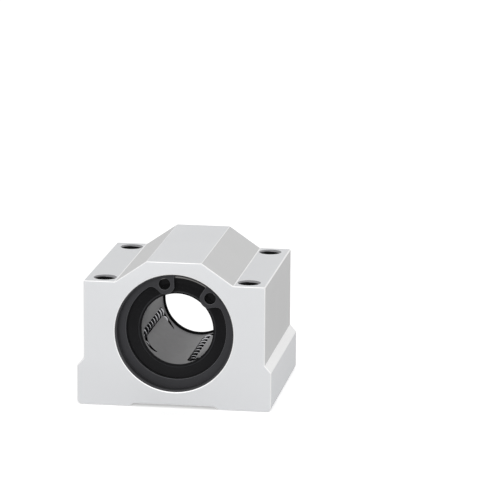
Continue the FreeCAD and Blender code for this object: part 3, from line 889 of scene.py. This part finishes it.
# Side rings: flat split rings of spring steel, one in a groove inside each end of the
# sleeve, which keep the cage in. Their shape is the frame's own.
spring_steel = make_finish("spring_steel", (0.30, 0.30, 0.31), 0.9, 0.35, 0.0003, 0.000002)
for node in ("front_side_ring", "rear_side_ring"):
    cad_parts[node].data.materials.clear()
    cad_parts[node].data.materials.append(spring_steel)


# Seals: moulded black rubber, pressed into the sleeve's ends. Each is dished from a flat
# rim down to a thin lip that just clears the shaft.
SEAL_BACK = 0.0189
SEAL_CREASE = 35
LIP_RADIUS = 0.01004
# distance out from the seal's back, and radius; the lip's bead comes last
SEAL_PROFILE = (
    (0.0, LIP_RADIUS),
    (0.0, 0.0147175),
    (0.0016, 0.0147175),
    (0.0017, 0.0146),
    (0.0017, 0.0133),
    (0.00162, 0.01315),
    (0.00125, 0.01245),
    (0.00096, 0.0116),
    (0.00080, 0.0111),
    (0.00078, 0.0109),
    (0.00094, 0.01072),
    (0.00098, 0.01052),
    (0.00084, 0.01028),
    (0.00056, LIP_RADIUS),
)
# steps of the profile up the bead's outer slope and over its top, which are painted paler as a
# highlight
PAINTED_HIGHLIGHT_STEPS = (9, 10)
moulded_rubber = make_finish("moulded_rubber", (0.0125, 0.0125, 0.0135), 0.0, 0.5, 0.00025,
                             0.000005, dark=0.8, specular=0.06)
# painted highlight: a paler copy of the rubber on the lip's bead
rubbed_lip = make_finish("rubbed_lip", (0.032, 0.032, 0.035), 0.0, 0.4, 0.00025, 0.000003,
                         specular=0.15)
seal_slots = [int(step in PAINTED_HIGHLIGHT_STEPS) for step in range(len(SEAL_PROFILE))]
for end, side in (("front", -1), ("rear", 1)):
    name = f"seal_{end}"
    profile = [(side * (SEAL_BACK + out), radius) for out, radius in SEAL_PROFILE]
    seal = new_piece(name, turned(name, profile, seal_slots), moulded_rubber, rubbed_lip)
    even_normals(seal, SEAL_CREASE)
    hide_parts(f"{end}_seal")
    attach(seal, "block")


# Circlips: stamped from spring steel and phosphated dark grey. Each snaps into a groove
# outside the bearing, and has a lug with a plier hole on each side of its gap.
CIRCLIP_RADIUS = 0.01682
CIRCLIP_PLACE = 0.02165
CIRCLIP_THICKNESS = 0.0012
BAND_INNER_RADIUS = 0.01392
BAND_OFF_CENTRE = 0.0005
LUG_PLACE = 0.01355
LUG_RADIUS = 0.0029
LUG_ANGLE = math.radians(29)
# the lug's round end gives way to a smooth blend, which ends where the plain band starts
LUG_END = math.radians(8.5)
BAND_START = math.radians(19)
BLEND_POWER = 2.2
GAP_ANGLE = math.radians(17.5)
CIRCLIP_STEPS = 360
STAMPED_EDGE = 0.00012
PLIER_HOLE_RADIUS = 0.0016
PLIER_HOLE_SEGMENTS = 48
PLIER_PIN_LENGTH = 0.004
phosphated_steel = make_finish("phosphated_steel", (0.040, 0.040, 0.044), 0.5, 0.45, 0.00016,
                               0.000004, dark=0.85, specular=0.3)
# painted highlight: a paler copy of the phosphated steel on the stamped edges' bevels
rubbed_steel = make_finish("rubbed_steel", (0.085, 0.085, 0.09), 0.6, 0.4, 0.0002, 0.000002)


def lug_edge(away):
    """Radius of a lug's inner edge, at an angle from the lug's middle."""
    reach = LUG_PLACE * math.sin(away)
    return LUG_PLACE * math.cos(away) - math.sqrt(max(LUG_RADIUS ** 2 - reach ** 2, 0))


def circlip_inner_radius(offset):
    """Radius of the ring's inner edge, at an angle from the gap's middle."""
    sideways = BAND_OFF_CENTRE * math.sin(offset)
    band = BAND_OFF_CENTRE * math.cos(offset) + math.sqrt(BAND_INNER_RADIUS ** 2 - sideways ** 2)
    away = abs(offset) - LUG_ANGLE
    if away < LUG_END:
        return lug_edge(away)
    if away > BAND_START:
        return band
    eased = 1 - (1 - (away - LUG_END) / (BAND_START - LUG_END)) ** BLEND_POWER
    return lug_edge(LUG_END) + (band - lug_edge(LUG_END)) * eased


def plier_holes(gap, middle):
    """Two short pins, one through each lug, to cut the plier holes."""
    work = bmesh.new()
    for angle in (gap - LUG_ANGLE, gap + LUG_ANGLE):
        place = Matrix.Translation(about_bore(LUG_PLACE, angle, middle))
        bmesh.ops.create_cone(
            work,
            cap_ends=True,
            segments=PLIER_HOLE_SEGMENTS,
            radius1=PLIER_HOLE_RADIUS,
            radius2=PLIER_HOLE_RADIUS,
            depth=PLIER_PIN_LENGTH,
            matrix=place @ Matrix.Rotation(math.pi / 2, 4, "X"),
        )
    mesh = bpy.data.meshes.new("plier_holes")
    work.to_mesh(mesh)
    work.free()
    return mesh


for end, gap_degrees, side in (("front", 74.2, -1), ("rear", 105.8, 1)):
    gap = math.radians(gap_degrees)
    band_angle = 2 * math.pi - 2 * GAP_ANGLE
    turns = [GAP_ANGLE + band_angle * i / CIRCLIP_STEPS for i in range(CIRCLIP_STEPS + 1)]
    edge = [(CIRCLIP_RADIUS, turn) for turn in turns]
    for turn in reversed(turns):
        offset = turn if turn < math.pi else turn - 2 * math.pi
        edge.append((circlip_inner_radius(offset), turn))
    middle = side * CIRCLIP_PLACE
    circlip = new_piece(
        f"circlip_{end}",
        join_rings(f"circlip_{end}", [
            [about_bore(radius, gap + turn, along) for radius, turn in edge]
            for along in (middle - CIRCLIP_THICKNESS / 2, middle + CIRCLIP_THICKNESS / 2)
        ]),
        phosphated_steel,
        rubbed_steel,
    )
    holes = new_piece("plier_holes", plier_holes(gap, middle), phosphated_steel)
    cut(circlip, holes)
    softened = circlip.modifiers.new("stamped_edges", "BEVEL")
    softened.width = STAMPED_EDGE
    softened.segments = 2
    softened.limit_method = "ANGLE"
    softened.angle_limit = math.radians(45)
    softened.use_clamp_overlap = False
    # the bevel's faces take the painted highlight
    softened.material = 1
    settle(circlip)
    even_normals(circlip)
    bpy.data.objects.remove(holes)
    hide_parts(f"{end}_circlip")
    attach(circlip, "block")


# Studio: a plain white floor that keeps the block's shadow, white all round, and two soft
# lamps, one in front of the block and one to its right.
FLOOR_HALF = 5.0
# a hair under the base, so that the two faces don't share a plane
FLOOR_HEIGHT = -0.00002
FLOOR_GLOW = 0.45
SKY_STRENGTH = 0.80


def studio_floor_material():
    """White paper, which glows a little for the camera so that only the shadow shows on it."""
    material = bpy.data.materials.new("studio_floor")
    material.use_nodes = True
    tree = material.node_tree
    shader = tree.nodes["Principled BSDF"]
    shader.inputs["Base Color"].default_value = (0.8, 0.8, 0.8, 1)
    shader.inputs["Roughness"].default_value = 0.9
    shader.inputs["Specular IOR Level"].default_value = 0.0
    path = tree.nodes.new("ShaderNodeLightPath")
    seen = tree.nodes.new("ShaderNodeMath")
    seen.operation = "MULTIPLY"
    seen.inputs[1].default_value = FLOOR_GLOW
    glow = tree.nodes.new("ShaderNodeEmission")
    glow.inputs["Color"].default_value = (1, 1, 1, 1)
    both = tree.nodes.new("ShaderNodeAddShader")
    wire(
        tree,
        (path.outputs["Is Camera Ray"], seen.inputs[0]),
        (seen.outputs[0], glow.inputs["Strength"]),
        (shader.outputs["BSDF"], both.inputs[0]),
        (glow.outputs["Emission"], both.inputs[1]),
        (both.outputs["Shader"], tree.nodes["Material Output"].inputs["Surface"]),
    )
    return material


floor_corners = [
    (x * FLOOR_HALF, y * FLOOR_HALF, FLOOR_HEIGHT)
    for x, y in ((-1, -1), (1, -1), (1, 1), (-1, 1))
]
floor_mesh = bpy.data.meshes.new("studio_floor")
floor_mesh.from_pydata(floor_corners, [], [(0, 1, 2, 3)])
floor = new_piece("studio_floor", floor_mesh, studio_floor_material())

world = bpy.data.worlds.new("studio")
world.use_nodes = True
scene.world = world
sky = world.node_tree
background = sky.nodes["Background"]
background.inputs["Color"].default_value = (1, 1, 1, 1)
light_path = sky.nodes.new("ShaderNodeLightPath")
seen_or_mirrored = sky.nodes.new("ShaderNodeMath")
seen_or_mirrored.operation = "MAXIMUM"
shows_white = sky.nodes.new("ShaderNodeMath")
shows_white.operation = "MAXIMUM"
strength = sky.nodes.new("ShaderNodeMapRange")
strength.inputs["To Min"].default_value = SKY_STRENGTH
strength.inputs["To Max"].default_value = 1.0
wire(
    sky,
    (light_path.outputs["Is Camera Ray"], seen_or_mirrored.inputs[0]),
    (light_path.outputs["Is Glossy Ray"], seen_or_mirrored.inputs[1]),
    (seen_or_mirrored.outputs[0], shows_white.inputs[0]),
    (light_path.outputs["Is Transmission Ray"], shows_white.inputs[1]),
    (shows_white.outputs[0], strength.inputs["Value"]),
    (strength.outputs["Result"], background.inputs["Strength"]),
)


def add_lamp(name, place, size, power):
    """A round soft lamp that points at the block."""
    lamp = bpy.data.lights.new(name, "AREA")
    lamp.shape = "DISK"
    lamp.size = size
    lamp.energy = power
    holder = bpy.data.objects.new(name, lamp)
    holder.location = place
    holder.rotation_mode = "QUATERNION"
    aim = Vector((0, 0, BORE_HEIGHT)) - Vector(place)
    holder.rotation_quaternion = aim.to_track_quat("-Z", "Y")
    scene.collection.objects.link(holder)


add_lamp("key_lamp", (-0.10, -0.90, 0.25), 0.50, 2.0)
add_lamp("side_lamp", (0.90, -0.20, 0.12), 0.35, 1.6)
scene.view_settings.view_transform = "Standard"
